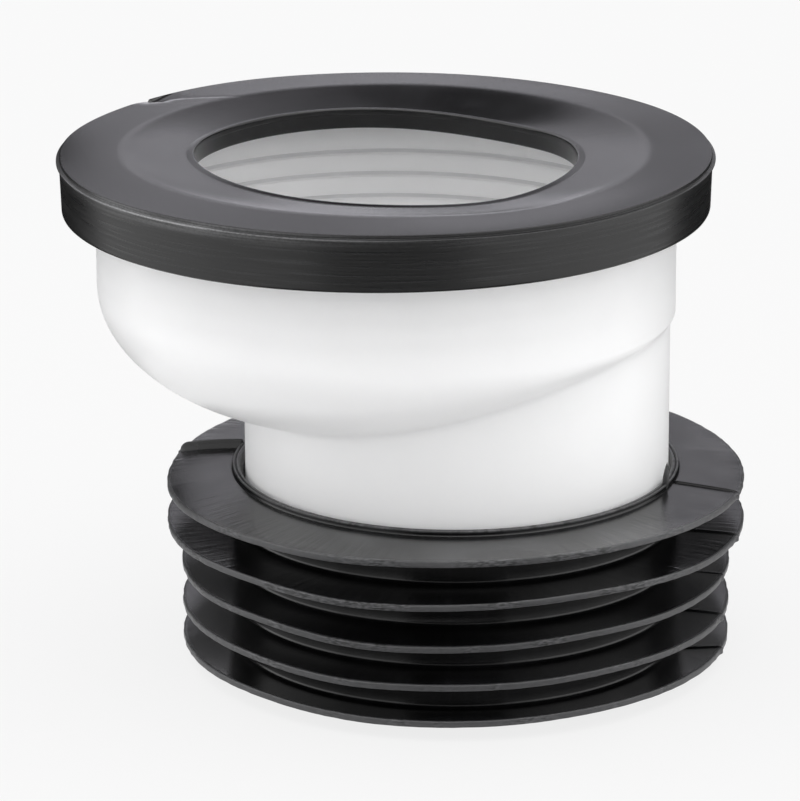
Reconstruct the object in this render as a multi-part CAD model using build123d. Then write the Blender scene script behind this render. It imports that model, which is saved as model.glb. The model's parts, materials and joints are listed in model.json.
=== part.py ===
from build123d import *
import math
import os

# Offset toilet pan connector, standing on its outlet with the inlet up.
# Millimetres. The outlet spigot's axis is Z and its end face is z = 0.
# Heights build up from that face, and the inlet socket lies towards -X.

# Outlet spigot of the moulded body
spigot_bore = 84.0
body_wall = 3.0
bore_land = 40.0        # straight length of the bore, from the outlet end
bore_draft = 0.8        # radius that the bore loses above that land
end_bead_reach = 1.8    # bead at the outlet end, on which the outlet seal stands
end_bead_height = 1.5
body_round = 0.6        # rounding of the body's two end edges

# Outlet seal
sleeve_fit_gap = 0.3
sleeve_wall = 2.1
small_fin_count = 3     # lower fins, which enter the pipe first
small_fin_reach = 11.2
large_fin_count = 2
large_fin_reach = 14.2
fin_pitch = 9.0
fin_root = 1.7
fin_edge = 1.4
fin_rise = 0.6          # each fin stands this much higher at its edge
fin_root_round = 0.8
collar_height = 2.45    # sleeve above its top fin
collar_groove = 0.5     # groove between the two ridges on the collar's top
collar_lead = 0.9       # the collar's inside flares by this much
collar_lead_height = 1.8

# Bowl between the spigot and the socket, with heights on its two sides
neck_left = 12.85       # bare spigot from the outlet seal to the bowl's floor
bowl_depth_left = 27.5  # floor below the bowl's edge
bowl_depth_right = 4.0
bowl_edge_fall = 6.0    # the edge lies this much lower on the right
floor_tuck_ends = 13.5  # the floor's ellipse lies this far inside the spigot
floor_tuck_sides = 1.5
mould_line = 0.05       # step where the bowl leaves the socket's wall
crease_round = 1.5      # rounding where the bowl runs into the spigot
bowl_sections = 7
section_points = 18

# Inlet socket of the moulded body
socket_od = 121.6
right_step = 1.05       # overhang of the socket on the spigot's right
socket_depth = 25.7     # from the bowl's edge on the left up to the rim
rim_flange_reach = 2.9  # flange that the inlet seal snaps over
rim_flange_height = 3.6
groove_count = 3        # shallow rings round the inside of the socket
groove_rise = 1.8       # lowest groove above the bowl's edge on the left
groove_pitch = 5.1
groove_height = 1.0
groove_depth = 0.6

# Inlet seal
seal_fit_gap = 0.3
seal_cap = 2.2          # rubber on top of the socket's rim
skirt_wall = 4.1        # rubber round the rim flange
skirt_taper = 0.6       # radius that the skirt loses at its foot
grip_height = 5.4       # rubber hooked under the rim flange
edge_lip_reach = 0.6    # chamfered lip round the skirt, just under the top
edge_lip_drop = 0.35
edge_lip_height = 0.85
crown_rise = 0.5
crown_band = 13.7       # from the outer edge in to the dish
dish_fall = 1.7
dish_round = 14.0
inlet_hole = 80.0
inlet_lip_depth = 4.3
inlet_lip_wall = 2.4
membrane = 2.0
hole_round = 1.0
seal_round = 0.6
thin_round = 0.3

# Sizes that follow, from the axis outwards
bore_r = spigot_bore / 2
spigot_r = bore_r + body_wall
sleeve_in = spigot_r + sleeve_fit_gap
sleeve_r = sleeve_in + sleeve_wall
socket_r = socket_od / 2
socket_bore_r = socket_r - body_wall
flange_r = socket_r + rim_flange_reach
axis_offset = socket_r - spigot_r - right_step

# Sizes that follow, from the outlet end upwards
fin_count = small_fin_count + large_fin_count
top_fin_root = end_bead_height + (fin_count - 1) * fin_pitch + fin_root
collar_top = top_fin_root + collar_height
floor_left = collar_top + neck_left
edge_left = floor_left + bowl_depth_left
edge_right = edge_left - bowl_edge_fall
floor_right = edge_right - bowl_depth_right
rim_top = edge_left + socket_depth
flange_foot = rim_top - rim_flange_height


def turned(corners, axis_x=0.0):
    """A solid of revolution about a vertical axis, from (radius, height, rounding) corners."""
    points = [(radius, height) for radius, height, rounding in corners]
    outline = FilletPolyline(points, radius=[corner[2] for corner in corners], close=True)
    section = Plane.XZ * make_face(outline)
    return Pos(axis_x, 0, 0) * revolve(section, Axis.Z)


def between(start, end, share):
    """The value that lies this share of the way from start to end."""
    return start + (end - start) * share


def bowl_section(turn, shrink, lift):
    """One closed section of the bowl, at turn radians round its quarter-ellipse shoulder.

    At 0 it is the socket's wall and at a right angle the floor ellipse inside the spigot.
    Each section is an ellipse in plan, in a plane that tilts from the bowl's left to its right.
    """
    inward = 1 - math.cos(turn)
    down = math.sin(turn)
    half_length = between(socket_r, spigot_r - floor_tuck_ends, inward)
    half_width = between(socket_r, spigot_r - floor_tuck_sides, inward)
    centre = between(-axis_offset, 0, inward)
    left = between(edge_left, floor_left + lift, down)
    right = between(edge_right, floor_right + lift, down)
    points = []
    for index in range(section_points):
        angle = 2 * math.pi * index / section_points
        along = (half_length - shrink) * math.cos(angle)
        across = (half_width - shrink) * math.sin(angle)
        height = between(left, right, (1 + along / half_length) / 2)
        points.append((centre + along, across, height))
    return make_face(Spline(points, periodic=True))


def bowl(shrink, lift):
    """The bowl as a loft from the socket's wall to its floor."""
    turns = [math.pi / 2 * index / (bowl_sections - 1) for index in range(bowl_sections)]
    return loft([bowl_section(turn, shrink, lift) for turn in turns])


def socket_column(radius):
    """The socket's cylinder of this radius, from just under the bowl's tilted edge to the rim."""
    slope = (edge_right - edge_left) / socket_od
    edge_middle = (edge_left + edge_right) / 2 - mould_line
    edge = Plane(origin=(-axis_offset, 0, edge_middle), x_dir=(1, 0, slope), z_dir=(-slope, 0, 1))
    column = Pos(-axis_offset, 0, rim_top / 2) * Cylinder(radius, rim_top)
    return split(column, bisect_by=edge, keep=Keep.TOP)


def on_crease(edge):
    """Whether this edge is the crease, which runs round the spigot's wall above the outlet seal."""
    middle = edge.position_at(0.5)
    on_wall = math.isclose(math.hypot(middle.X, middle.Y), spigot_r, abs_tol=mould_line)
    return on_wall and middle.Z > collar_top


def connector_body():
    """Moulded body: socket with rim flange, tilted bowl and spigot, hollowed to an even wall."""
    end_bead_r = spigot_r + end_bead_reach
    spigot = turned(
        [
            (0, 0, 0),
            (end_bead_r, 0, body_round),
            (end_bead_r, end_bead_height, 0),
            (spigot_r, end_bead_height, 0),
            (spigot_r, edge_right, 0),
            (0, edge_right, 0),
        ]
    )
    flange = turned(
        [
            (0, flange_foot, 0),
            (flange_r, flange_foot, 0),
            (flange_r, rim_top, body_round),
            (0, rim_top, 0),
        ],
        -axis_offset,
    )
    outside = spigot + bowl(mould_line, 0) + socket_column(socket_r)
    outside = fillet([edge for edge in outside.edges() if on_crease(edge)], crease_round) + flange

    bore = turned(
        [
            (0, 0, 0),
            (bore_r, 0, 0),
            (bore_r, bore_land, 0),
            (bore_r - bore_draft, edge_right, 0),
            (0, edge_right, 0),
        ]
    )
    inside = bore + bowl(body_wall + mould_line, body_wall) + socket_column(socket_bore_r)
    hollow = outside - inside
    for index in range(groove_count):
        foot = edge_left + groove_rise + index * groove_pitch
        groove = turned(
            [
                (0, foot, 0),
                (socket_bore_r, foot, 0),
                (socket_bore_r + groove_depth, foot + groove_height / 2, 0),
                (socket_bore_r, foot + groove_height, 0),
                (0, foot + groove_height, 0),
            ],
            -axis_offset,
        )
        hollow -= groove
    return hollow


def inlet_seal():
    """Rubber cap ring: skirt hooked over the rim flange, dished membrane and turned-down lip."""
    pocket_r = flange_r + seal_fit_gap
    pocket_foot = flange_foot - seal_fit_gap
    grip_r = socket_r + seal_fit_gap
    grip_foot = pocket_foot - grip_height
    skirt_r = pocket_r + skirt_wall
    edge_r = skirt_r + edge_lip_reach
    edge_top = rim_top + seal_cap
    crown_top = edge_top + crown_rise
    lip_top = edge_top - edge_lip_drop
    dish_r = edge_r - crown_band
    hole_r = inlet_hole / 2
    hole_top = crown_top - dish_fall
    lip_back = hole_r + inlet_lip_wall
    lip_foot = hole_top - inlet_lip_depth
    corners = [
        (hole_r, lip_foot, thin_round),
        (hole_r, hole_top, hole_round),
        (dish_r, crown_top, dish_round),
        (skirt_r, edge_top, thin_round),
        (skirt_r, lip_top, 0),
        (edge_r, lip_top - edge_lip_reach, 0),
        (edge_r, lip_top - edge_lip_height, 0),
        (skirt_r, lip_top - edge_lip_height, 0),
        (skirt_r - skirt_taper, grip_foot, seal_round),
        (grip_r, grip_foot, seal_round),
        (grip_r, pocket_foot, 0),
        (pocket_r, pocket_foot, 0),
        (pocket_r, rim_top, 0),
        (socket_bore_r, rim_top, 0),
        (lip_back, hole_top - membrane, seal_round),
        (lip_back, lip_foot, seal_round),
    ]
    return turned(corners, -axis_offset)


def outlet_seal():
    """Rubber sleeve on the spigot, with a beaded collar and fins that bend inside a soil pipe."""
    reaches = [small_fin_reach] * small_fin_count + [large_fin_reach] * large_fin_count
    corners = [(sleeve_in, end_bead_height, 0)]
    for index, reach in enumerate(reaches):
        root_foot = end_bead_height + index * fin_pitch
        root_top = root_foot + fin_root
        edge_top = root_top + fin_rise
        corners.append((sleeve_r, root_foot, fin_root_round if index else 0))
        corners.append((sleeve_r + reach, edge_top - fin_edge, 0))
        corners.append((sleeve_r + reach, edge_top, 0))
        corners.append((sleeve_r, root_top, fin_root_round))
    lead_r = sleeve_in + collar_lead
    groove_r = (sleeve_r + lead_r) / 2
    corners.append((sleeve_r, collar_top, 0))
    corners.append((groove_r + collar_groove / 2, collar_top, 0))
    corners.append((groove_r, collar_top - collar_groove, 0))
    corners.append((groove_r - collar_groove / 2, collar_top, 0))
    corners.append((lead_r, collar_top, 0))
    corners.append((sleeve_in, collar_top - collar_lead_height, 0))
    return turned(corners)


os.makedirs("parts", exist_ok=True)
export_step(connector_body(), "parts/connector_body.step")
export_step(inlet_seal(), "parts/inlet_seal.step")
export_step(outlet_seal(), "parts/outlet_seal.step")
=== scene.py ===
"""Offset toilet pan connector: white moulding, rubber cap on its inlet, finned rubber sleeve on its outlet.

Laid out as an add-on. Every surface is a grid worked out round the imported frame, in metres, with +Z up
along the outlet spigot's axis.
"""

import json
import math

import bpy
import numpy as np
from mathutils import Matrix, Vector


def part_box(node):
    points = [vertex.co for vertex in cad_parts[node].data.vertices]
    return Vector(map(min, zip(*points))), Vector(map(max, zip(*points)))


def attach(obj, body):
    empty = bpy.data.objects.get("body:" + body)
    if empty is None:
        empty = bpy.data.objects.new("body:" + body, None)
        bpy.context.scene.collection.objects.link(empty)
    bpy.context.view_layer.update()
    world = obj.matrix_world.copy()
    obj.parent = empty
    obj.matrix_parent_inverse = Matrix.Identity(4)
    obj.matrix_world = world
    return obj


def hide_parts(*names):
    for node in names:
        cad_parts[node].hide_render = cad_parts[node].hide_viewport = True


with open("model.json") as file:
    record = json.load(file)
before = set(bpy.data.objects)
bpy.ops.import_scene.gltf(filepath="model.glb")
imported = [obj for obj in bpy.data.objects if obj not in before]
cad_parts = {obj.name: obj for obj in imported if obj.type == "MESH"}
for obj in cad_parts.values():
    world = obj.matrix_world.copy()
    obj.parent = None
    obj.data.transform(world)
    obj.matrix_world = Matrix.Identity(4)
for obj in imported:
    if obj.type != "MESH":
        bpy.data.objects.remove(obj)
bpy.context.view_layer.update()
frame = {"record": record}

bl_info = {
    "name": "Pan connector",
    "version": (1, 0, 0),
    "blender": (4, 5, 0),
    "location": "View3D > Sidebar > Connector",
    "description": "Builds an offset toilet pan connector round its packed frame",
    "category": "Object",
}

MM = 0.001
TURN = 2.0 * math.pi

# Sizes that the frame gives
mounts = {mount["name"]: mount for mount in frame["record"]["mounts"]}
body_low, body_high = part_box("connector_body")
cap_low, cap_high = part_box("inlet_seal")
sleeve_low, sleeve_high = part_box("outlet_seal")
socket_x = mounts["inlet_bore"]["pos_m"][0]
hole_radius = mounts["inlet_bore"]["dims"]["r_mm"] * MM
bore_radius = mounts["outlet_bore"]["dims"]["r_mm"] * MM
bore_land = mounts["outlet_bore"]["dims"]["length_mm"] * MM
small_fin_radius = mounts["outlet_pin"]["dims"]["r_mm"] * MM
large_fin_radius = sleeve_high.x
flange_radius = socket_x - body_low.x
cap_radius = cap_high.x - socket_x
rim_top = body_high.z

# Roundings that several edges share
crisp_round = 0.08 * MM
sharp_round = 0.1 * MM
soft_round = 0.6 * MM

# The fins from the lowest up: three that enter the pipe first, then two that reach further
fin_radii = [small_fin_radius] * 3 + [large_fin_radius] * 2


def length(name, description, millimetres):
    """A size, kept in metres."""
    return bpy.props.FloatProperty(
        name=name, description=description, default=millimetres * MM, unit="LENGTH", precision=5
    )


def lengths(name, description, millimetres):
    """A row of sizes, one for each fin from the lowest up."""
    default = [value * MM for value in millimetres]
    return bpy.props.FloatVectorProperty(
        name=name, description=description, default=default, size=len(default), unit="LENGTH", precision=5
    )


def colour(name, description, default):
    """A surface's colour."""
    return bpy.props.FloatVectorProperty(
        name=name, description=description, default=default, size=4, min=0.0, max=1.0, subtype="COLOR"
    )


def share(name, description, default):
    """A share from nothing to all."""
    return bpy.props.FloatProperty(
        name=name, description=description, default=default, min=0.0, max=1.0, subtype="FACTOR"
    )


def angle(name, description, degrees):
    """An angle, kept in radians."""
    return bpy.props.FloatProperty(
        name=name, description=description, default=math.radians(degrees), subtype="ANGLE"
    )


class BodySizes(bpy.types.PropertyGroup):
    """Sizes and finish of the white moulding."""

    wall: length("Wall", "Thickness of the moulding", 3.0)
    bead_reach: length("End bead", "Reach of the bead at the outlet end", 1.8)
    edge_left: length("Edge, left", "Height of the bowl's edge on its deep side", 82.0)
    edge_right: length("Edge, right", "Height of the bowl's edge on its shallow side", 76.0)
    floor_left: length("Floor, left", "Height of the bowl's floor on its deep side", 55.2)
    floor_right: length("Floor, right", "Height of the bowl's floor on its shallow side", 72.7)
    floor_length: length("Floor half length", "Half length of the floor's ellipse", 31.5)
    floor_width: length("Floor half width", "Half width of the floor's ellipse", 43.5)
    crease: length("Crease rounding", "Run of the rounding where the bowl meets the spigot", 1.6)
    draft: length("Bore draft", "Radius that the bore loses above its straight land", 0.8)
    flange_reach: length("Flange reach", "Reach of the flange under the rubber cap", 2.9)
    flange_height: length("Flange height", "Height of that flange", 3.6)
    rounding: length("Rounding", "Rounding of the moulding's end edges", 0.6)
    ring_rise: length("Ring rise", "Lowest ring in the socket above the bowl's edge", 1.4)
    ring_pitch: length("Ring pitch", "Spacing of the rings in the socket", 5.1)
    ring_height: length("Ring height", "Height of one ring's groove", 1.3)
    ring_depth: length("Ring depth", "Depth of one ring's groove", 1.2)
    white: colour("White", "Colour of the plastic", (0.95, 0.95, 0.953, 1.0))
    shade: colour("White, cloudy", "Colour where the plastic is slightly cloudy", (0.925, 0.925, 0.932, 1.0))
    # Painted shade: the darker colour laid into the rings' grooves, for the shade that falls in them
    groove: colour("White, in the rings", "Colour in the rings' shade", (0.22, 0.22, 0.225, 1.0))
    glow: share("Glow", "Share of the light that spreads inside the plastic", 0.62)
    glow_depth: length("Glow depth", "How far light spreads inside the plastic", 10.0)


class CapSizes(bpy.types.PropertyGroup):
    """Sizes of the rubber cap on the inlet."""

    fit_gap: length("Fit gap", "Room between the cap and the moulding", 0.3)
    lip_depth: length("Lip depth", "Depth of the turned-down lip round the hole", 4.3)
    lip_wall: length("Lip wall", "Thickness of that lip", 2.4)
    membrane: length("Membrane", "Thickness of the dished ring", 2.0)
    dish_fall: length("Dish fall", "Fall of the dish from its crown to the hole", 1.7)
    crown_band: length("Crown band", "Width of the flat band outside the dish", 13.7)
    crown_rise: length("Crown rise", "Rise of that band from the edge to the dish", 0.5)
    dish_round: length("Dish rounding", "Rounding between that band and the dish", 14.0)
    edge_lip: length("Edge lip", "Reach of the chamfered lip round the top edge", 0.6)
    edge_drop: length("Edge drop", "Drop from the top edge to that lip", 0.35)
    edge_height: length("Edge lip height", "Height of that lip", 0.85)
    skirt_taper: length("Skirt taper", "Radius that the skirt loses at its foot", 0.3)
    grip_height: length("Grip height", "Height of the rubber under the flange", 5.4)
    sag_back: length("Sag, back", "Sag of the membrane at the back right", 1.35)
    sag_front: length("Sag, front", "Sag of the membrane at the front right", 1.0)
    swell_left: length("Swell, left", "Swell of the membrane on the left", 1.0)
    foot_drop: length("Foot drop", "How much the stretched skirt's foot hangs", 0.5)
    foot_tilt: length("Foot tilt", "Tilt of the skirt's foot from side to side", 0.25)
    buckle: length("Buckle", "Depth of the nick in the back left of the edge", 0.75)
    buckle_at: angle("Buckle at", "Place of that nick round the cap", 139.6)
    bead: length("Hole bead", "Height of the soft bead round the hole", 0.16)
    wave: length("Wave", "Unevenness of the top", 0.12)


class SleeveSizes(bpy.types.PropertyGroup):
    """Sizes of the finned rubber sleeve on the outlet."""

    fit_gap: length("Fit gap", "Room between the sleeve and the spigot", 0.3)
    wall: length("Wall", "Thickness of the sleeve", 2.1)
    pitch: length("Pitch", "Spacing of the fins", 9.0)
    root: length("Root", "Thickness of a fin at the sleeve", 1.7)
    edge: length("Edge", "Thickness of a fin at its rim", 1.4)
    root_round: length("Root rounding", "Rounding between a fin and the sleeve", 0.8)
    rim_round: length("Rim rounding", "Rounding of a fin's rim", 0.28)
    rim_trim: lengths("Rim trim", "How far each fin's rim is trimmed back", (0.1, 0.1, 0.1, 0.15, 0.2))
    root_swell: lengths("Root swell", "Extra thickness on each fin's root", (0.0, 0.0, 0.0, 0.0, 1.35))
    rim_rise: lengths("Rim rise", "Height of each fin's rim over its root", (1.5, 0.2, -0.3, 0.4, -0.95))
    saddle: lengths("Saddle", "Rise at front and back, fall at the sides", (0.0, 0.0, 0.0, 0.3, 0.6))
    tilt: lengths("Tilt", "Rise of each rim on the right, fall on the left", (0.0, 0.0, 0.0, 0.0, 0.45))
    ripple: lengths("Ripple", "Unevenness of each fin's rim", (0.25, 0.55, 0.7, 0.55, 0.35))
    drift: length("Drift", "How far the sleeve sits to the left, within its fit gap", 0.25)
    ragged: length("Ragged rim", "Unevenness of the rims' trimmed edge", 0.10)
    nub: length("Nub", "Reach of the flash where a seam crosses a rim", 0.4)
    collar_lead: length("Collar lead", "Flare inside the collar", 0.9)
    collar_lead_height: length("Collar lead height", "Height of that flare", 1.8)
    collar_groove: length("Collar groove", "Width of the groove on the collar's top", 0.5)
    seam_left: angle("Left seam", "Place of the mould's seam on the left", 165.5)
    seam_right: angle("Right seam", "Place of the mould's seam on the right", -16.0)
    rib_left: lengths("Ribs, left", "Height of the left seam's ribs", (0.3, 0.3, 0.3, 0.6, 1.9))
    rib_right: lengths("Ribs, right", "Height of the right seam's ribs", (0.3, 0.3, 0.15, 0.3, 0.45))
    leaf_height: length("Leaf height", "Height of the leaf of flash beside the spigot", 6.1)
    leaf_width: length("Leaf width", "Width of that leaf", 1.5)


class RubberLook(bpy.types.PropertyGroup):
    """Finish of the black rubber."""

    black: colour("Black", "Colour of the rubber", (0.003, 0.003, 0.0032, 1.0))
    bloom: colour("Bloom", "Colour where the rubber has a pale bloom", (0.011, 0.011, 0.012, 1.0))
    # Grey of worn, trimmed rims, also used for the painted highlight on the collar's top
    wear_and_highlight_grey: colour("Worn", "Colour of trimmed and rubbed edges", (0.10, 0.10, 0.104, 1.0))
    # Painted highlight: the pale colour laid on the cap's lip, strongest at the front left
    painted_lip_highlight: colour("Scuffed", "Colour of the cap's scuffed lip", (0.24, 0.24, 0.245, 1.0))
    clean_roughness: share("Roughness", "Roughness of clean rubber", 0.18)
    streaked_roughness: share("Streaked roughness", "Roughness of the streaked skirt", 0.44)


class StageLook(bpy.types.PropertyGroup):
    """Floor, light and camera."""

    floor: colour("Floor", "Colour of the floor", (0.53, 0.53, 0.53, 1.0))
    backdrop: colour("Backdrop", "Colour of the floor as seen", (0.96, 0.96, 0.96, 1.0))
    shadow: share("Shadow", "Share of the floor's own shading that shows", 0.15)
    reach: length("Floor reach", "Half width of the floor", 4000.0)
    lamp_distance: length("Lamp distance", "From the spigot's axis to a soft lamp", 440.0)
    lamp_width: length("Lamp width", "Width of a soft lamp", 400.0)
    lamp_height: length("Lamp height", "Height of a soft lamp", 550.0)
    lamp_level: share("Lamp level", "Brightness of a soft lamp's face", 0.54)
    card: colour("Cards", "Colour of the dark cards and mats", (0.02, 0.02, 0.02, 1.0))
    target: bpy.props.FloatVectorProperty(
        name="Target",
        description="Point that the camera looks at",
        default=(-12.01 * MM, 0.0, 54.69 * MM),
        subtype="TRANSLATION",
        unit="LENGTH",
        precision=5,
    )
    distance: length("Distance", "From the camera to its target", 999.5)
    elevation: angle("Elevation", "Height of the camera over the horizon", 17.53)
    roll: angle("Roll", "Roll of the camera", -0.246)
    lens: bpy.props.FloatProperty(
        name="Lens", description="Focal length in millimetres", default=212.1, subtype="DISTANCE_CAMERA"
    )


def lerp(start, end, part):
    """The value this part of the way from start to end."""
    return start + (end - start) * part


def ease(low, high, value):
    """A smooth cubic step, 0 at low and 1 at high, which may lie either way round."""
    part = np.clip((value - low) / (high - low), 0.0, 1.0)
    return part * part * (3.0 - 2.0 * part)


def near(turn, centre, width):
    """A bell curve round the circle, 1 where turn equals centre: exp(-(difference / width)^2)."""
    difference = (turn - centre + math.pi) % TURN - math.pi
    return np.exp(-((difference / width) ** 2))


def wobble(turn, orders, seed):
    """Seeded unevenness round a circle, about -1 to 1: a sum of cosines of these orders."""
    phases = np.random.default_rng(seed).uniform(0.0, TURN, len(orders))
    waves = np.cos(np.multiply.outer(turn, np.asarray(orders)) + phases)
    return waves.sum(axis=-1) / math.sqrt(len(orders))


def crowded(count, centres, width, crowding):
    """Angles round a circle, closer together near these centres.

    The circle is divided evenly by the running sum of 1 + crowding * bell curves.
    """
    even = np.linspace(-math.pi, math.pi, 20 * count + 1)
    density = 1.0 + crowding * sum(near(even, centre, width) for centre in centres)
    running = np.concatenate([[0.0], np.cumsum((density[1:] + density[:-1]) / 2.0)])
    return np.interp(np.arange(count) / count * running[-1], running, even)


def stacked(x, y, z):
    """Points from their coordinates, each a grid, a row, a column or a single value."""
    return np.stack(np.broadcast_arrays(x, y, z), axis=-1)


def ring(centre_x, radius, height, turn):
    """Points of circles about a vertical axis: x = centre + radius cos, y = radius sin."""
    return stacked(centre_x + radius * np.cos(turn), radius * np.sin(turn), height)


def run(start, end, spacing):
    """Points between two ends of a straight run, closer together towards both ends."""
    count = max(2, round(float(np.linalg.norm(end - start)) / spacing))
    part = 0.5 - 0.5 * np.cos(math.pi * np.arange(1, count) / count)
    return lerp(start, end, part[:, None])


def rounded(corners, spacing, steps):
    """A closed profile through (radius, height, rounding) corners.

    Each corner becomes an arc of its rounding that touches both its sides, in equal steps, and the straight
    runs between the arcs are divided at about this spacing.
    """
    points = np.array([corner[:2] for corner in corners])
    rounding = np.array([corner[2] for corner in corners])[:, None]
    back = np.roll(points, 1, axis=0) - points
    ahead = np.roll(points, -1, axis=0) - points
    back /= np.linalg.norm(back, axis=1, keepdims=True)
    ahead /= np.linalg.norm(ahead, axis=1, keepdims=True)
    middle = back + ahead
    middle /= np.linalg.norm(middle, axis=1, keepdims=True)
    half = np.arccos(np.clip((back * middle).sum(axis=1, keepdims=True), -1.0, 1.0))
    centre = points + middle * rounding / np.sin(half)
    first = points + back * rounding / np.tan(half) - centre
    last = points + ahead * rounding / np.tan(half) - centre
    sweep = (math.pi - 2.0 * half)[:, None, :]
    part = np.linspace(0.0, 1.0, steps)[None, :, None]
    arcs = first[:, None, :] * np.sin((1.0 - part) * sweep) + last[:, None, :] * np.sin(part * sweep)
    arcs = arcs / np.sin(sweep) + centre[:, None, :]
    pieces = []
    for index, arc in enumerate(arcs):
        pieces.append(arc)
        pieces.append(run(arc[-1], arcs[(index + 1) % len(arcs)][0], spacing))
    return np.concatenate(pieces)


def grid_mesh(name, points, wrap_rows=True, wrap_columns=True, **values):
    """A smooth mesh from a grid of points, closed along its rows and columns where they wrap.

    Faces are wound so that they point outwards where columns run anticlockwise and rows run up the outside.
    The named values are kept as attributes of the points.
    """
    rows, columns = points.shape[:2]
    index = np.arange(rows * columns).reshape(rows, columns)
    above = np.roll(index, -1, axis=0)
    faces = np.stack([index, np.roll(index, -1, axis=1), np.roll(above, -1, axis=1), above], axis=-1)
    faces = faces[: rows if wrap_rows else rows - 1, : columns if wrap_columns else columns - 1]
    mesh = bpy.data.meshes.new(name)
    mesh.from_pydata(points.reshape(-1, 3), [], faces.reshape(-1, 4), shade_flat=False)
    for key, value in values.items():
        attribute = mesh.attributes.new(key, "FLOAT", "POINT")
        attribute.data.foreach_set("value", np.ascontiguousarray(value, dtype=np.float32).ravel())
    mesh.update()
    return mesh


def place(name, mesh, material):
    """Puts a mesh into the scene as an object at the origin."""
    mesh.materials.append(material)
    thing = bpy.data.objects.new(name, mesh)
    bpy.context.scene.collection.objects.link(thing)
    return thing


class Wire:
    """An output socket. Arithmetic on it adds Math nodes to its tree."""

    def __init__(self, paint, socket):
        self.paint = paint
        self.socket = socket

    def other(self, output):
        """Another output of the same node."""
        return Wire(self.paint, self.socket.node.outputs[output])

    def math(self, operation, *values):
        """A Math node on these values."""
        return self.paint.node("Math", {"operation": operation}, dict(enumerate(values)))

    def __add__(self, value):
        return self.math("ADD", self, value)

    def __sub__(self, value):
        return self.math("SUBTRACT", self, value)

    def __rsub__(self, value):
        return self.math("SUBTRACT", value, self)

    def __mul__(self, value):
        return self.math("MULTIPLY", self, value)

    def __truediv__(self, value):
        return self.math("DIVIDE", self, value)

    def __rtruediv__(self, value):
        return self.math("DIVIDE", value, self)

    # Sums and products are the same either way round
    __radd__ = __add__
    __rmul__ = __mul__

    def step(self, low, high):
        """A smooth step of this value, 0 at low and 1 at high, which may lie either way round."""
        settings = {"interpolation_type": "SMOOTHSTEP"}
        if low < high:
            return self.paint.node("MapRange", settings, {"Value": self, "From Min": low, "From Max": high})
        return 1.0 - self.step(high, low)


class Paint:
    """A node tree that is filled by one method."""

    def __init__(self, tree):
        self.tree = tree
        tree.nodes.clear()

    def node(self, kind, settings, sockets):
        """Adds a node of this kind: its settings first, then its sockets' values or links."""
        made = self.tree.nodes.new("ShaderNode" + kind)
        for key, value in settings.items():
            if key == "stops":
                ramp = made.color_ramp
                for position, level in value[1:-1]:
                    ramp.elements.new(position)
                for element, (position, level) in zip(ramp.elements, value):
                    element.position = position
                    element.color = (level, level, level, 1.0)
            else:
                setattr(made, key, value)
        for key, value in sockets.items():
            if isinstance(value, Wire):
                self.tree.links.new(value.socket, made.inputs[key])
            else:
                made.inputs[key].default_value = value
        return Wire(self, made.outputs[0]) if made.outputs else None

    def mix(self, part, first, second):
        """A colour between two colours."""
        return self.node("Mix", {"data_type": "RGBA"}, {0: part, 6: first, 7: second}).other(2)

    def noise(self, where, scale, detail=2.0):
        """Noise from 0 to 1 at this scale."""
        return self.node("TexNoise", {}, {"Vector": where, "Scale": scale, "Detail": detail})

    def attribute(self, name):
        """A value that the mesh keeps at its points."""
        return self.node("Attribute", {"attribute_name": name}, {}).other("Fac")

    def surface(self, tone, roughness, relief, strength, depth, fixed):
        """Ends a material: a Principled surface with this relief as a bump, and some fixed sockets."""
        bump = self.node("Bump", {}, {"Strength": strength, "Distance": depth, "Height": relief})
        sockets = {"Base Color": tone, "Roughness": roughness, "Normal": bump, **fixed}
        self.node("OutputMaterial", {}, {"Surface": self.node("BsdfPrincipled", {}, sockets)})


class Place:
    """Object coordinates of a surface, and its radius and direction about a vertical axis."""

    def __init__(self, paint, axis_x):
        self.paint = paint
        self.spot = paint.node("TexCoord", {}, {}).other("Object")
        parts = paint.node("SeparateXYZ", {}, {0: self.spot})
        across = parts - axis_x
        along = parts.other("Y")
        self.height = parts.other("Z")
        self.radius = across.math("SQRT", across * across + along * along)
        self.cosine = across / self.radius
        self.sine = along / self.radius

    def streaks(self, around, third, detail=2.0):
        """Noise on the direction, as fine as around, and on a third value, from 0 to 1."""
        where = {"X": self.cosine * around, "Y": self.sine * around, "Z": third}
        return self.paint.noise(self.paint.node("CombineXYZ", {}, where), 1.0, detail)


def new_material(name):
    """An empty node material, as a Paint."""
    material = bpy.data.materials.new(name)
    material.use_nodes = True
    return material, Paint(material.node_tree)


def socket_radius(body):
    """Outer radius of the socket: the flange's, less its reach."""
    return flange_radius - body.flange_reach


def sleeve_radius(sizes, body):
    """Outer radius of the sleeve between its fins: the spigot's, with the fit gap and the sleeve's wall."""
    return bore_radius + body.wall + sizes.fit_gap + sizes.wall


def rim_radius(sizes, fin):
    """Radius of one fin's trimmed rim."""
    return fin_radii[fin] - sizes.rim_trim[fin]


def fin_heights(sizes, fin):
    """Heights of one fin: its root's foot and top, and its rim's top."""
    root_foot = sleeve_low.z + fin * sizes.pitch
    root_top = root_foot + sizes.root + sizes.root_swell[fin]
    return root_foot, root_top, root_top + sizes.rim_rise[fin]


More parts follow.
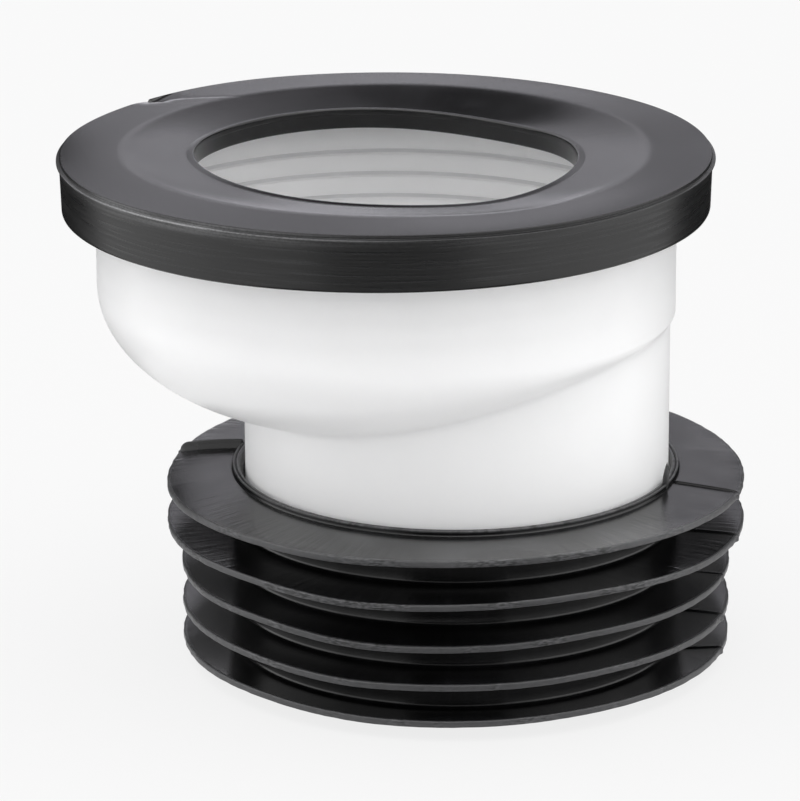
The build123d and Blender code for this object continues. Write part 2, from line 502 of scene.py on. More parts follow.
def white_moulding(sizes):
    """Satin white polypropylene: a slight cloudiness, a fine moulded grain, faint scuffs and painted shade in
    the rings.

    The painted shade lies between the socket's bore and a little past the rings' depth, above the bowl's
    edge.
    """
    material, paint = new_material("white moulding")
    at = Place(paint, socket_x)
    cloud = paint.noise(at.spot, 38.0, 3.0)
    grain = paint.noise(at.spot, 1500.0)
    scuff = at.streaks(9.0, at.height * 900.0, 3.0).step(0.64, 0.82)
    tone = paint.mix(cloud.step(0.35, 0.75), sizes.white, sizes.shade)
    # Painted shade: the rings' grooves are darkened in the colour, for the shade that falls in them
    depth = at.radius - (socket_radius(sizes) - sizes.wall)
    past_ring = depth - sizes.ring_depth
    groove = depth.step(0.15 * MM, 0.55 * MM) * past_ring.step(1.0 * MM, 0.4 * MM)
    groove = groove * at.height.step(sizes.edge_left, sizes.edge_left + sizes.ring_rise)
    tone = paint.mix(groove * 0.42, tone, sizes.groove)
    roughness = 0.27 + cloud * 0.12 + scuff * 0.08
    glow = {
        "Subsurface Weight": sizes.glow,
        "Subsurface Radius": (1.0, 1.0, 1.0),
        "Subsurface Scale": sizes.glow_depth,
    }
    paint.surface(tone, roughness, grain + scuff * 0.25, 0.10, 0.1 * MM, glow)
    return material


def cap_rubber(look):
    """Satin black rubber of the cap, apart from its skirt: smudged bloom and faint draw marks."""
    material, paint = new_material("cap rubber")
    at = Place(paint, socket_x)
    smudge = paint.noise(at.spot, 55.0, 4.0)
    dust = paint.noise(at.spot, 1900.0)
    rays = at.streaks(70.0, at.radius * 60.0, 3.0)
    bloom = smudge.step(0.42, 0.72) * 0.55 + rays.step(0.45, 0.8) * 0.25 + dust.step(0.6, 0.8) * 0.15
    tone = paint.mix(bloom, look.black, look.bloom)
    paint.surface(tone, look.clean_roughness + smudge * 0.08, dust * 0.5 + rays * 0.4, 0.2, 0.1 * MM, {})
    return material


def skirt_rubber(look):
    """Duller rubber of the cap's skirt: fine streaks round it and a painted highlight on its lip, strongest
    at the front left.
    """
    material, paint = new_material("skirt rubber")
    at = Place(paint, socket_x)
    dust = paint.noise(at.spot, 1900.0)
    streak = at.streaks(3.0, at.height * 1700.0, 3.0)
    tone = paint.mix(streak.step(0.45, 0.75) * 0.8, look.black, look.bloom)
    broken = 0.2 + 0.3 * dust.step(0.35, 0.6) + 0.5 * streak.step(0.4, 0.6)
    # Painted highlight: the lip and the band under it are painted pale, most at the front left
    tone = paint.mix(paint.attribute("rubbed") * broken, tone, look.painted_lip_highlight)
    roughness = look.streaked_roughness - 0.06 - 0.12 * streak.step(0.35, 0.65)
    paint.surface(tone, roughness, dust * 0.4 + streak, 0.3, 0.12 * MM, {"Specular IOR Level": 0.58})
    return material


def fin_rubber(look, sizes, body):
    """Satin black rubber of the sleeve: draw marks on its fins, a smeared top fin, pale, trimmed rims and a
    painted highlight on the collar's top.

    The draw marks grow towards the rims and are faint below the two large fins.
    """
    material, paint = new_material("fin rubber")
    at = Place(paint, 0.0)
    outside = sleeve_radius(sizes, body)
    large_foot = fin_heights(sizes, 3)[0]
    top_foot = fin_heights(sizes, 4)[0]
    smudge = paint.noise(at.spot, 60.0, 4.0)
    dust = paint.noise(at.spot, 2100.0)
    rays = at.streaks(38.0, at.radius * 70.0, 4.0)
    drawn = 0.7 + at.radius.step(outside + 2.6 * MM, outside + 12.6 * MM) * 1.6
    drawn = drawn * (0.12 + 0.88 * at.height.step(large_foot - 4.5 * MM, large_foot + 1.5 * MM))
    rim = paint.attribute("rubbed")
    trim = at.streaks(52.0, paint.attribute("across") * 5.0 + at.height * 300.0, 5.0)
    patch = at.streaks(5.0, at.height * 90.0).step(0.48, 0.62)
    bloom = smudge.step(0.40, 0.72) * 0.5 + rays.step(0.45, 0.75) * 0.5
    tone = paint.mix(bloom, look.black, look.bloom)
    smear = smudge.step(0.42, 0.66) * (0.7 + 0.3 * rays.step(0.44, 0.70))
    smear = smear * at.height.step(top_foot - 1.5 * MM, top_foot + 0.5 * MM)
    smear = smear * at.radius.step(outside + 0.6 * MM, outside + 3.6 * MM)
    tone = paint.mix(smear * 0.3, tone, look.wear_and_highlight_grey)
    trimmed = 0.5 + (0.15 + 0.85 * patch) * (trim.step(0.28, 0.72) - 0.5)
    # Worn grey on the trimmed rims, and a painted highlight on the collar's top
    tone = paint.mix(rim * trimmed, tone, look.wear_and_highlight_grey)
    roughness = look.clean_roughness - 0.01 + smudge * 0.10 + rim * 0.22
    relief = dust * 0.3 + rays * drawn + trim * rim * (0.3 + 1.3 * patch)
    paint.surface(tone, roughness, relief, 0.35, 0.15 * MM, {"Specular IOR Level": 0.52})
    return material


def bowl_point(sizes, turn, bend, inset):
    """The bowl's surface at bend radians round its quarter-ellipse shoulder.

    In plan it is an ellipse that shrinks by cos(bend) from the socket's circle to the floor's ellipse, and
    its height falls by sin(bend) from the tilted edge to the tilted floor. Inset moves it in by the wall.
    """
    inward = 1.0 - np.cos(bend)
    down = np.sin(bend)
    outer_radius = socket_radius(sizes)
    half_length = lerp(outer_radius, sizes.floor_length, inward)
    half_width = lerp(outer_radius, sizes.floor_width, inward)
    left = lerp(sizes.edge_left, sizes.floor_left + inset, down)
    right = lerp(sizes.edge_right, sizes.floor_right + inset, down)
    along = (half_length - inset) * np.cos(turn)
    across = (half_width - inset) * np.sin(turn)
    height = lerp(left, right, (1.0 + along / half_length) / 2.0)
    return stacked(lerp(socket_x, 0.0, inward) + along, across, height)


def crease_bend(sizes, turn, inset, wall_radius):
    """The bend at which the bowl meets the spigot's wall on each column, by halving the range 40 times."""
    low = np.zeros_like(turn)
    high = np.full_like(turn, math.pi / 2.0)
    for _ in range(40):
        middle = (low + high) / 2.0
        point = bowl_point(sizes, turn, middle, inset)
        outside = np.hypot(point[..., 0], point[..., 1]) > wall_radius(point[..., 2])
        low = np.where(outside, middle, low)
        high = np.where(outside, high, middle)
    return (low + high) / 2.0


def moulded_points(sizes):
    """The moulding's whole skin as one closed grid: up the outside from the outlet end, then down inside.

    Columns follow the socket's directions. On the spigot they turn to the direction in which the bowl's
    column meets it, and a quadratic curve rounds that crease.
    """
    turn = crowded(352, [math.pi], 1.2, 0.3)
    spigot_radius = bore_radius + sizes.wall
    outer_radius = socket_radius(sizes)
    socket_bore = outer_radius - sizes.wall
    bead_radius = spigot_radius + sizes.bead_reach
    bead_top = sleeve_low.z

    def bore_at(height):
        above_land = np.clip((height - bore_land) / (sizes.edge_right - bore_land), 0.0, 1.0)
        return bore_radius - sizes.draft * above_land

    def rows(count):
        return (np.arange(count) / count)[:, None]

    crease = crease_bend(sizes, turn, 0.0, lambda height: spigot_radius)
    meet = bowl_point(sizes, turn, crease, 0.0)
    spin = np.arctan2(meet[:, 1], meet[:, 0])
    before = np.maximum(crease - 0.02, 0.0)
    stride = np.linalg.norm(bowl_point(sizes, turn, before, 0.0) - meet, axis=-1)
    pace = stride / np.maximum(crease - before, 1e-6)
    run_up = np.minimum(sizes.crease, 0.45 * crease * pace)
    bowl_start = crease - run_up / np.maximum(pace, 1e-6)

    end = rounded(
        [
            (bore_radius, 0.0, 0.3 * MM),
            (bead_radius, 0.0, sizes.rounding),
            (bead_radius, bead_top, 0.15 * MM),
            (spigot_radius, bead_top, 0.15 * MM),
            (spigot_radius, bead_top + 3.0 * MM, sharp_round),
            (bore_radius, bead_top + 3.0 * MM, sharp_round),
        ],
        1.0 * MM,
        6,
    )
    on_wall = (end[:, 0] < spigot_radius + 0.01 * MM) & (end[:, 1] > bead_top + 0.2 * MM)
    end = end[: np.argmax(on_wall)]
    outlet = ring(0.0, end[:, :1], end[:, 1:], spin)
    top = meet[:, 2] - run_up
    spigot = ring(0.0, spigot_radius, lerp(end[-1, 1], top, rows(30)[1:]), spin)
    below = ring(0.0, spigot_radius, top, spin)
    above = bowl_point(sizes, turn, bowl_start, 0.0)
    part = rows(8)[:, :, None]
    rounding = (1.0 - part) ** 2 * below + 2.0 * part * (1.0 - part) * meet + part**2 * above
    bowl = bowl_point(sizes, turn, bowl_start * (1.0 - rows(44)), 0.0)
    edge = bowl_point(sizes, turn, 0.0, 0.0)[:, 2]
    flange_foot = rim_top - sizes.flange_height
    socket = ring(socket_x, outer_radius, lerp(edge, flange_foot - 0.3 * MM, rows(14)), turn)

    ring_count = 3
    ring_profile = []
    for index in reversed(range(ring_count)):
        ring_foot = sizes.edge_left + sizes.ring_rise + index * sizes.ring_pitch
        ring_profile += [
            (socket_bore, ring_foot + sizes.ring_height, 0.12 * MM),
            (socket_bore + sizes.ring_depth, ring_foot + 0.9 * sizes.ring_height, sharp_round),
            (socket_bore, ring_foot, 0.12 * MM),
        ]
    rim = rounded(
        [
            (outer_radius, flange_foot, 0.2 * MM),
            (flange_radius, flange_foot, 0.2 * MM),
            (flange_radius, rim_top, sizes.rounding),
            (socket_bore, rim_top, 0.3 * MM),
            *ring_profile,
            (socket_bore, sizes.edge_left + 0.5 * MM, sharp_round),
            (outer_radius, sizes.edge_left + 0.5 * MM, sharp_round),
        ],
        1.4 * MM,
        5,
    )
    on_bore = (rim[:, 0] < socket_bore + 0.001 * MM) & (rim[:, 1] > sizes.edge_left + 0.7 * MM)
    rim = rim[: np.nonzero(on_bore)[0][-1] + 1]
    mouth = ring(socket_x, rim[:, :1], rim[:, 1:], turn)
    inner_edge = bowl_point(sizes, turn, 0.0, sizes.wall)[:, 2]
    inner_socket = ring(socket_x, socket_bore, lerp(rim[-1, 1], inner_edge, rows(6)[1:]), turn)
    inner_crease = crease_bend(sizes, turn, sizes.wall, bore_at)
    inner_bowl = bowl_point(sizes, turn, inner_crease * rows(34), sizes.wall)
    inner_meet = bowl_point(sizes, turn, inner_crease, sizes.wall)
    inner_spin = np.arctan2(inner_meet[:, 1], inner_meet[:, 0])
    fall = lerp(inner_meet[:, 2], bore_land, rows(12))
    upper_bore = ring(0.0, bore_at(fall), fall, lerp(inner_spin, spin, rows(12)))
    lower_bore = ring(0.0, bore_radius, lerp(bore_land, end[0, 1] + 0.05 * MM, rows(12)), spin)
    return np.concatenate(
        [outlet, spigot, rounding, bowl, socket, mouth, inner_socket, inner_bowl, upper_bore, lower_bore]
    )


def cap_points(sizes, body):
    """The rubber cap: its rounded section carried round the socket's axis, then drooped, kinked and waved.

    Bell curves round the axis sag and swell the membrane. The nick at the back left is a dip on one side, a
    fold on the other and a crease that runs in to the dish, each fading out over its own angle.
    Returns the grid of points, where the lip carries a painted highlight, strongest at the front left, and
    which rows are the skirt's.
    """
    crown_top = cap_high.z
    edge_top = crown_top - sizes.crown_rise
    skirt_radius = cap_radius - sizes.edge_lip
    dish_radius = cap_radius - sizes.crown_band
    hole_top = crown_top - sizes.dish_fall
    lip_foot = hole_top - sizes.lip_depth
    lip_back = hole_radius + sizes.lip_wall
    pocket_radius = flange_radius + sizes.fit_gap
    pocket_foot = cap_low.z + sizes.grip_height
    grip_radius = socket_radius(body) + sizes.fit_gap
    lip_top = edge_top - sizes.edge_drop
    corners = [
        (hole_radius, lip_foot, 0.3 * MM),
        (lip_back, lip_foot, soft_round),
        (lip_back, hole_top - sizes.membrane, soft_round),
        (socket_radius(body) - body.wall, rim_top, sharp_round),
        (pocket_radius, rim_top, sharp_round),
        (pocket_radius, pocket_foot, sharp_round),
        (grip_radius, pocket_foot, sharp_round),
        (grip_radius, cap_low.z, soft_round),
        (skirt_radius - sizes.skirt_taper, cap_low.z, soft_round),
        (skirt_radius, lip_top - sizes.edge_height, crisp_round),
        (cap_radius, lip_top - sizes.edge_height, crisp_round),
        (cap_radius, lip_top - sizes.edge_lip, 0.06 * MM),
        (skirt_radius - 0.2 * MM, lip_top - 0.42 * MM, crisp_round),
        (skirt_radius - 0.1 * MM, edge_top, 0.12 * MM),
        (dish_radius, crown_top, sizes.dish_round),
        (hole_radius + 1.6 * MM, hole_top - 0.6 * sizes.bead, 0.8 * MM),
        (hole_radius, hole_top + sizes.bead, 0.35 * MM),
        (hole_radius - 0.05 * MM, hole_top - 1.1 * MM, crisp_round),
        (hole_radius + 0.12 * MM, hole_top - 1.25 * MM, crisp_round),
    ]
    profile = rounded(corners, 1.0 * MM, 6)
    turn = crowded(500, [sizes.buckle_at], 0.09, 5.0)
    radius, height = np.repeat(profile.T[:, :, None], len(turn), axis=2)
    inward = ease(dish_radius, hole_radius, radius)
    back_right = near(turn, math.radians(52), 0.58)
    front_right = near(turn, math.radians(-53), 0.52)
    front_left = near(turn, math.radians(-128), 0.45)
    left = near(turn, math.radians(-162), 0.75)
    sag = sizes.sag_back * back_right - sizes.swell_left * left
    sag_front = sizes.sag_front * front_right
    top = ease(pocket_foot, rim_top, height)
    low = 1.0 - ease(cap_low.z, lip_top, height)
    outer = ease(dish_radius, skirt_radius, radius)
    dip_angle = 0.09
    fold_angle = 0.115
    crease_angle = 0.26
    past = turn - sizes.buckle_at
    dip = np.clip(1.0 - past / dip_angle, 0.0, 1.0) ** 2 * ease(-0.006, 0.004, past)
    fold = np.clip(1.0 + past / fold_angle, 0.0, 1.0) * ease(0.005, -0.004, past)
    crease = np.clip(-past / crease_angle, 0.0, 1.0)
    crease_line = lerp(skirt_radius - 1.0 * MM, dish_radius - 2.0 * MM, crease)
    crease_depth = 0.25 * sizes.buckle * ease(0.0, 0.15, crease) * ease(1.0, 0.6, crease)
    lift = -sag * inward - sag_front * ease(skirt_radius, dish_radius - 5.0 * MM, radius)
    lift -= sizes.wave * top * (1.0 + wobble(turn, [2, 3, 5, 7], 4)) * (0.35 + 0.65 * outer)
    lift -= 0.7 * sizes.buckle * dip * ease(skirt_radius - 6.0 * MM, skirt_radius, radius) * top
    folded = ease(skirt_radius - 0.1 * MM, skirt_radius - 0.7 * MM, radius)
    folded = folded * ease(skirt_radius - 6.0 * MM, skirt_radius - 1.2 * MM, radius)
    lift -= sizes.buckle * fold * folded * top
    lift -= crease_depth * np.exp(-(((radius - crease_line) / (0.9 * MM)) ** 2)) * top
    hang = sizes.foot_tilt * np.cos(turn) - sizes.foot_drop
    lift += hang * low * ease(pocket_radius, skirt_radius, radius)
    squeeze = 0.12 * MM * low * wobble(turn, [2, 3, 4], 9) * ease(grip_radius, skirt_radius, radius)
    # Painted highlight: the lip's outer edge and the band under it are painted pale, strongest at the front
    # left
    rubbed = ease(skirt_radius + 0.2 * MM, skirt_radius + 0.5 * MM, radius)
    painted_lip_highlight = ease(lip_top - 2.8 * MM, lip_top - 0.9 * MM, height) * (radius > skirt_radius - 0.4 * MM)
    rubbed = np.maximum(rubbed, 0.45 * painted_lip_highlight) * (0.12 + 0.88 * front_left)
    skirt = (profile[:, 0] > pocket_radius + 0.1 * MM) & (profile[:, 1] < lip_top)
    points = ring(socket_x, radius - np.abs(squeeze), height + lift, turn)
    return points, rubbed, skirt.astype(np.int32)


def fin_wave(sizes, fin, turn):
    """Lift of one fin's rim round the circle.

    It has two raised stretches and a sunk one in front, gentle waves, a saddle and a tilt.
    """
    raised = near(turn, math.radians(-60), 0.31) + near(turn, math.radians(-140), 0.28)
    sunk = near(turn, math.radians(-112), 0.24)
    waves = sizes.ripple[fin] * (0.8 * (raised - sunk) + 0.35 * wobble(turn, [3, 4, 6], 20 + fin))
    return waves - sizes.saddle[fin] * np.cos(2.0 * turn) + sizes.tilt[fin] * np.cos(turn)


def sleeve_points(sizes, body):
    """The finned sleeve: its rounded section carried round the spigot's axis, with each fin's rim lifted and
    sunk in proportion to the square of its reach, and its trimmed edge made ragged.

    Returns the grid of points, where the rubber is pale: worn on the trimmed rims and a painted highlight on
    the collar's top, and how far down its rim's face a point lies.
    """
    outside = sleeve_radius(sizes, body)
    inside = outside - sizes.wall
    count = len(fin_radii)
    corners = [(inside, sleeve_low.z, sharp_round)]
    for fin in range(count):
        root_foot, root_top, rim_height = fin_heights(sizes, fin)
        corners += [
            (outside, root_foot, sizes.root_round if fin else sharp_round),
            (rim_radius(sizes, fin), rim_height - sizes.edge, sizes.rim_round),
            (rim_radius(sizes, fin), rim_height, sizes.rim_round),
            (outside, root_top, sizes.root_round if fin < count - 1 else 0.4 * sizes.root_round),
        ]
    lead = inside + sizes.collar_lead
    groove = (outside + lead) / 2.0
    corners += [
        (outside, sleeve_high.z, 0.12 * MM),
        (groove + sizes.collar_groove / 2.0, sleeve_high.z, crisp_round),
        (groove, sleeve_high.z - sizes.collar_groove, crisp_round),
        (groove - sizes.collar_groove / 2.0, sleeve_high.z, crisp_round),
        (lead, sleeve_high.z, crisp_round),
        (inside, sleeve_high.z - sizes.collar_lead_height, 0.2 * MM),
    ]
    profile = rounded(corners, 1.7 * MM, 4)
    seams = [sizes.seam_left, sizes.seam_right]
    turn = crowded(480, seams, 0.07, 3.0)
    radius, height = np.repeat(profile.T[:, :, None], len(turn), axis=2)
    lift, trim, rubbed, across = np.zeros((4, *radius.shape))
    for fin in range(count):
        root_foot, root_top, rim_height = fin_heights(sizes, fin)
        rim_edge = rim_radius(sizes, fin)
        middle = (root_foot + root_top) / 2.0
        on_fin = (np.abs(height - middle) < sizes.pitch / 2.0) & (radius > outside)
        reach = np.clip((radius - outside) / (rim_edge - outside), 0.0, 1.0)
        lift += on_fin * reach**2 * fin_wave(sizes, fin, turn)
        rim = on_fin * ease(rim_edge - 0.5 * MM, rim_edge - 0.15 * MM, radius)
        trim += rim * np.abs(wobble(turn, [9, 17, 31, 47, 61], 40 + fin)) * sizes.ragged
        trim -= rim * sizes.nub * sum(near(turn, seam - 0.006, 0.011) for seam in seams)
        rubbed += rim
        across += on_fin * (rim_height - height) / sizes.edge
    # Painted highlight: the collar's top is painted pale
    collar = (height > sleeve_high.z - 0.7 * sizes.collar_groove) & (radius < outside + 0.05 * MM)
    points = ring(-sizes.drift, radius - trim, height + lift, turn)
    return points, rubbed + collar, across


def rib_points(sizes, body, fin, seam, height):
    """One rib of flash along a fin's top: a thin upright wall with a flared foot, rounded off at the rim.

    Its sides leave its middle by (1 - share of the height)^4 towards the foot. Its height falls along a
    quarter ellipse over the last part of its length, and both its ends are pinched to a point.
    """
    outside = sleeve_radius(sizes, body)
    root_top, rim_height = fin_heights(sizes, fin)[1:]
    part = np.linspace(0.0, 1.0, 40)[:, None]
    section = np.linspace(0.0, TURN, 20, endpoint=False)[None, :]
    rim_edge = rim_radius(sizes, fin) - sizes.drift * math.cos(seam)
    radius = lerp(outside - 0.4 * MM, rim_edge - 0.02 * MM, part)
    reach = np.clip((radius - outside) / (rim_edge - outside), 0.0, 1.0)
    surface = lerp(root_top, rim_height, reach) + fin_wave(sizes, fin, np.array([seam])) * reach**2
    rounded_part = 0.14
    fall = np.clip((part - 1.0 + rounded_part) / rounded_part, 0.0, 1.0)
    pinch = np.sqrt(1.0 - fall**2) * ease(0.0, 0.03, part)
    rise = np.sin(section)
    side = np.sign(np.cos(section)) * np.sqrt(np.abs(np.cos(section)))
    thin = 0.10 * MM + 0.09 * height
    flare = (0.06 * MM + 0.18 * height) * (1.0 - np.clip(rise, 0.0, 1.0)) ** 4
    up = surface + height * pinch * np.where(rise > 0.0, rise, 0.3 * rise)
    across = (thin + flare) * side * pinch
    x = radius * math.cos(seam) - across * math.sin(seam)
    y = radius * math.sin(seam) + across * math.cos(seam)
    return stacked(x, y, up)


def leaf_points(sizes, body):
    """The leaf of flash that stands in the collar's right seam: an oval section carried up beside the spigot.

    Its width swells quickly from its foot and runs out to a point, and it leans back and to the right.
    """
    lean_back = 1.3 * MM
    depth_in_seam = 1.6 * MM
    foot = ring(0.0, sleeve_radius(sizes, body) - 0.5 * MM, 0.0, sizes.seam_right - 0.11)
    part = np.linspace(0.0, 1.0, 24)[:, None]
    section = np.linspace(0.0, TURN, 16, endpoint=False)[None, :]
    broad = 0.5 * sizes.leaf_width * np.sqrt(np.clip(part * 3.0, 0.0, 1.0)) * (1.0 - part**3)
    x = foot[0] + broad * np.cos(section) + 0.3 * sizes.leaf_width * part
    y = foot[1] + lean_back * part**1.5 + 0.5 * broad * np.sin(section)
    up = sleeve_high.z - depth_in_seam + sizes.leaf_height * part
    return stacked(x, y, up)


class CONNECTOR_OT_body(bpy.types.Operator):
    """Build the white moulding: spigot, tilted bowl and ringed socket"""

    bl_idname = "connector.body"
    bl_label = "White moulding"

    def execute(self, context):
        sizes = context.scene.connector_body
        mesh = grid_mesh("moulding", moulded_points(sizes))
        moulding = place("moulding", mesh, white_moulding(sizes))
        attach(moulding, "root")
        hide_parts("connector_body")
        return {"FINISHED"}


class CONNECTOR_OT_cap(bpy.types.Operator):
    """Build the rubber cap that is stretched over the inlet's rim"""

    bl_idname = "connector.cap"
    bl_label = "Inlet cap"

    def execute(self, context):
        points, rubbed, skirt = cap_points(context.scene.connector_cap, context.scene.connector_body)
        mesh = grid_mesh("inlet_cap", points, rubbed=rubbed)
        mesh.polygons.foreach_set("material_index", np.repeat(skirt, points.shape[1]))
        cap = place("inlet_cap", mesh, cap_rubber(context.scene.connector_rubber))
        mesh.materials.append(skirt_rubber(context.scene.connector_rubber))
        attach(cap, "root")
        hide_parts("inlet_seal")
        return {"FINISHED"}


class CONNECTOR_OT_sleeve(bpy.types.Operator):
    """Build the finned rubber sleeve on the outlet, with the flash in its mould's seams"""

    bl_idname = "connector.sleeve"
    bl_label = "Finned sleeve"

    def execute(self, context):
        sizes = context.scene.connector_sleeve
        body = context.scene.connector_body
        rubber = fin_rubber(context.scene.connector_rubber, sizes, body)
        points, rubbed, across = sleeve_points(sizes, body)
        mesh = grid_mesh("finned_sleeve", points, rubbed=rubbed, across=across)
        sleeve = place("finned_sleeve", mesh, rubber)
        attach(sleeve, "root")
        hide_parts("outlet_seal")
        strips = {"flash_leaf": leaf_points(sizes, body)}
        seams = {"left": (sizes.seam_left, sizes.rib_left), "right": (sizes.seam_right, sizes.rib_right)}
        for fin in range(len(fin_radii)):
            for side, (seam, heights) in seams.items():
                strips[f"flash_{side}_{fin + 1}"] = rib_points(sizes, body, fin, seam, heights[fin])
        for name, strip in strips.items():
            wear_and_highlight_grey = np.full(strip.shape[:2], 0.6 if name == "flash_leaf" else 0.0)
            rib = place(name, grid_mesh(name, strip, wrap_rows=False, rubbed=wear_and_highlight_grey), rubber)
            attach(rib, "root")
        return {"FINISHED"}


# Bearings of the soft lamps, in degrees from the camera's side
lamp_bearings = {"softbox_left": -84.0, "softbox_right": 66.0}

# Dark cards and mats: bearing in degrees, width, then distance and height of two opposite edges, in metres
card_places = {
    "card_left": (-134.0, 0.24, (0.26, 0.0), (0.26, 0.20)),
    "card_right": (134.0, 0.24, (0.26, 0.0), (0.26, 0.20)),
    "card_front": (0.0, 0.26, (0.30, 0.0), (0.30, 0.13)),
    "mat_left": (-134.0, 0.24, (0.135, 0.001), (0.26, 0.001)),
    "mat_right": (134.0, 0.24, (0.135, 0.001), (0.26, 0.001)),
    "mat_front": (0.0, 0.26, (0.07, 0.001), (0.19, 0.001)),
}

# Brightness of the surround, as stops of a direction's upward part and a level
backdrop_stops = [(0.0, 1.9), (0.08, 1.05), (0.15, 0.14), (0.26, 0.36), (0.33, 0.80)]
backdrop_stops += [(0.42, 0.90), (0.48, 0.04), (0.80, 0.04), (0.90, 3.0), (1.0, 3.0)]
side_stops = [(0.0, 1.25), (0.45, 1.25), (0.75, 1.2), (0.88, 3.0), (1.0, 3.0)]
front_stops = [(0.0, 0.98), (0.50, 0.98), (0.75, 1.15), (0.88, 3.0), (1.0, 3.0)]


class CONNECTOR_OT_stage(bpy.types.Operator):
    """Set the pale floor, the soft light and the camera"""

    bl_idname = "connector.stage"
    bl_label = "Floor, light and camera"

    def execute(self, context):
        look = context.scene.connector_stage
        context.scene.view_settings.view_transform = "Standard"
        lay_floor(look)
        light_world(context.scene)
        for name, bearing in lamp_bearings.items():
            softbox(look, name, bearing)
        for name, edges in card_places.items():
            dark_card(look, name, *edges)
        aim_camera(context.scene, look)
        return {"FINISHED"}


def lay_floor(look):
    """A flat square floor. As seen it is the backdrop's colour, mixed with a share of its own shading."""
    ends = [-look.reach, look.reach]
    x, y = np.meshgrid(ends, ends)
    mesh = grid_mesh("floor", stacked(x, y, 0.0), wrap_rows=False, wrap_columns=False)
    material, paint = new_material("floor")
    path = paint.node("LightPath", {}, {})
    seen = path.math("MAXIMUM", path, path.other("Is Glossy Ray"))
    seen = seen.math("MAXIMUM", seen, path.other("Is Transmission Ray"))
    shaded = paint.node("BsdfDiffuse", {}, {"Color": look.floor})
    plain = paint.node("Emission", {}, {"Color": look.backdrop, "Strength": 1.0})
    mixed = paint.node("MixShader", {}, {0: seen * (1.0 - look.shadow), 1: shaded, 2: plain})
    paint.node("OutputMaterial", {}, {"Surface": mixed})
    place("floor", mesh, material)


def light_world(scene):
    """A soft surround: even in front and at the sides, banded behind the object, and bright overhead.

    The backdrop's middle is dimmer, with one soft spot low behind the object, and it is a little cool.
    """
    scene.world = bpy.data.worlds.new("studio")
    scene.world.use_nodes = True
    paint = Paint(scene.world.node_tree)
    way = paint.node("SeparateXYZ", {}, {0: paint.node("TexCoord", {}, {}).other("Generated")})
    along = way.other("Y")
    up = way.other("Z")
    sideways = way / way.math("SQRT", way * way + along * along)
    aside = sideways.math("ABSOLUTE", sideways)
    ramps = [backdrop_stops, side_stops, front_stops]
    backdrop, sides, front = [paint.node("ValToRGB", {"stops": stops}, {0: up}) for stops in ramps]
    left = sideways + 0.015
    low = up - 0.25
    spot = (0.6 * left * left + 2.4 * low * low).step(0.0045, 0.0006)
    middle = aside.step(0.10, 0.03) * up.step(0.16, 0.24)
    backdrop = backdrop * (1.0 - 0.40 * middle) + 1.35 * spot
    cool_tint = (1.0, 0.985, 1.06, 1.0)
    multiply = {"data_type": "RGBA", "blend_type": "MULTIPLY"}
    backdrop = paint.node("Mix", multiply, {0: 1.0, 6: backdrop, 7: cool_tint}).other(2)
    behind = paint.mix(aside.step(0.14, 0.60), backdrop, sides)
    around = paint.mix(along.step(0.25, -0.35), behind, front)
    light = paint.node("Background", {}, {"Color": around, "Strength": 1.0})
    paint.node("OutputWorld", {}, {"Surface": light})


def panel_way(bearing):
    """The level direction at this bearing in degrees, measured from the camera's side."""
    bearing = math.radians(bearing)
    return Vector((math.sin(bearing), -math.cos(bearing), 0.0))


def softbox(look, name, bearing):
    """A soft light that stands just clear of the floor and faces the object."""
    way = panel_way(bearing)
    lamp = bpy.data.lights.new(name, "AREA")
    lamp.shape = "RECTANGLE"
    lamp.size = look.lamp_width
    lamp.size_y = look.lamp_height
    lamp.energy = look.lamp_level * math.pi * look.lamp_width * look.lamp_height
    thing = bpy.data.objects.new(name, lamp)
    clear_of_floor = 10.0 * MM
    middle = Vector((0.0, 0.0, look.lamp_height / 2.0 + clear_of_floor))
    place_at = Matrix.Translation(way * look.lamp_distance + middle)
    thing.matrix_world = place_at @ way.to_track_quat("Z", "Y").to_matrix().to_4x4()
    thing.visible_camera = False
    bpy.context.scene.collection.objects.link(thing)


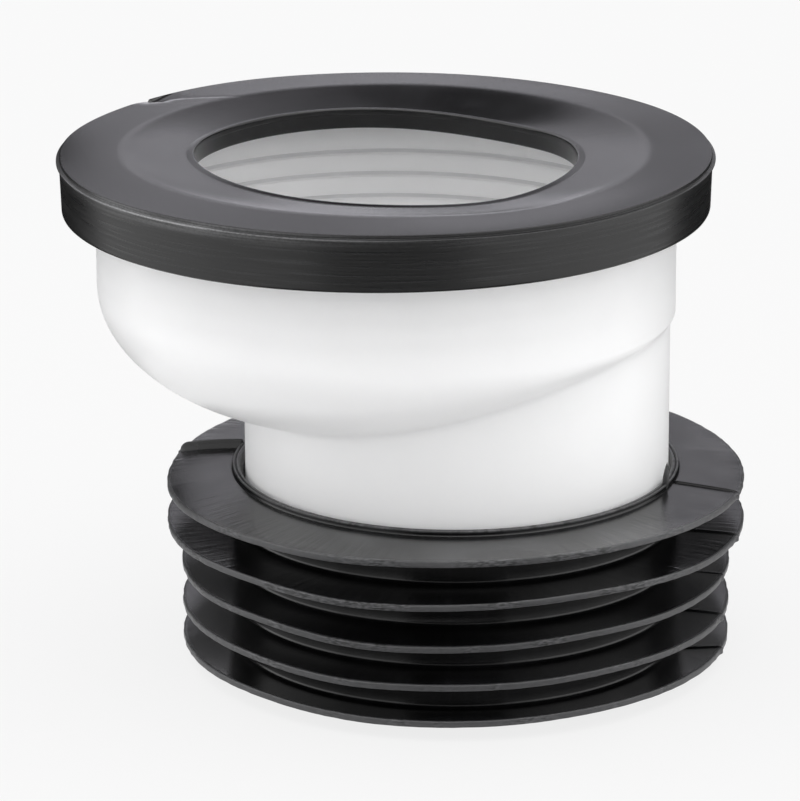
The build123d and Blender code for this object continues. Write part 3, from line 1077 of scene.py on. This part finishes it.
def dark_card(look, name, bearing, width, first, last):
    """A dark card or mat beside the object, between two edges given by their distance and height.

    It is seen only in the object's gloss, where it gives darker lines along its sides and dark gaps.
    """
    way = panel_way(bearing)
    across = np.array(way.cross(Vector((0.0, 0.0, 1.0))))
    aside = np.array([-0.5, 0.5]) * width
    away, up = np.array([first, last]).T
    points = aside[None, :, None] * across + away[:, None, None] * np.array(way)
    points[..., 2] += up[:, None]
    material, paint = new_material(name)
    dark = paint.node("BsdfDiffuse", {}, {"Color": look.card})
    paint.node("OutputMaterial", {}, {"Surface": dark})
    card = place(name, grid_mesh(name, points, wrap_rows=False, wrap_columns=False), material)
    for ray in ["camera", "diffuse", "transmission", "shadow"]:
        setattr(card, "visible_" + ray, False)


def aim_camera(scene, look):
    """The camera in front of the object, tipped down at its target, with a slight roll."""
    camera = bpy.data.cameras.new("camera")
    camera.sensor_fit = "HORIZONTAL"
    camera.sensor_width = 36.0
    camera.lens = look.lens
    thing = bpy.data.objects.new("camera", camera)
    tip = Matrix.Rotation(math.pi / 2.0 - look.elevation, 4, "X")
    roll = Matrix.Rotation(look.roll, 4, "Z")
    back = Matrix.Translation((0.0, 0.0, look.distance))
    thing.matrix_world = Matrix.Translation(look.target) @ tip @ roll @ back
    scene.collection.objects.link(thing)
    scene.camera = thing


class CONNECTOR_PT_panel(bpy.types.Panel):
    """Lists the connector's pieces"""

    bl_idname = "CONNECTOR_PT_panel"
    bl_label = "Pan connector"
    bl_space_type = "VIEW_3D"
    bl_region_type = "UI"
    bl_category = "Connector"

    def draw(self, context):
        for operator in operators:
            self.layout.operator(operator.bl_idname)


groups = {
    "connector_body": BodySizes,
    "connector_cap": CapSizes,
    "connector_sleeve": SleeveSizes,
    "connector_rubber": RubberLook,
    "connector_stage": StageLook,
}
operators = [CONNECTOR_OT_body, CONNECTOR_OT_cap, CONNECTOR_OT_sleeve, CONNECTOR_OT_stage]


def register():
    """Register the classes and hang the property groups on the scene."""
    for kind in [*groups.values(), *operators, CONNECTOR_PT_panel]:
        bpy.utils.register_class(kind)
    for name, kind in groups.items():
        setattr(bpy.types.Scene, name, bpy.props.PointerProperty(type=kind))


def unregister():
    """Take away what register added."""
    for name in groups:
        delattr(bpy.types.Scene, name)
    for kind in [CONNECTOR_PT_panel, *reversed(operators), *reversed(groups.values())]:
        bpy.utils.unregister_class(kind)


def main():
    """Build everything."""
    register()
    bpy.ops.connector.body()
    bpy.ops.connector.cap()
    bpy.ops.connector.sleeve()
    bpy.ops.connector.stage()


if __name__ == "__main__":
    main()
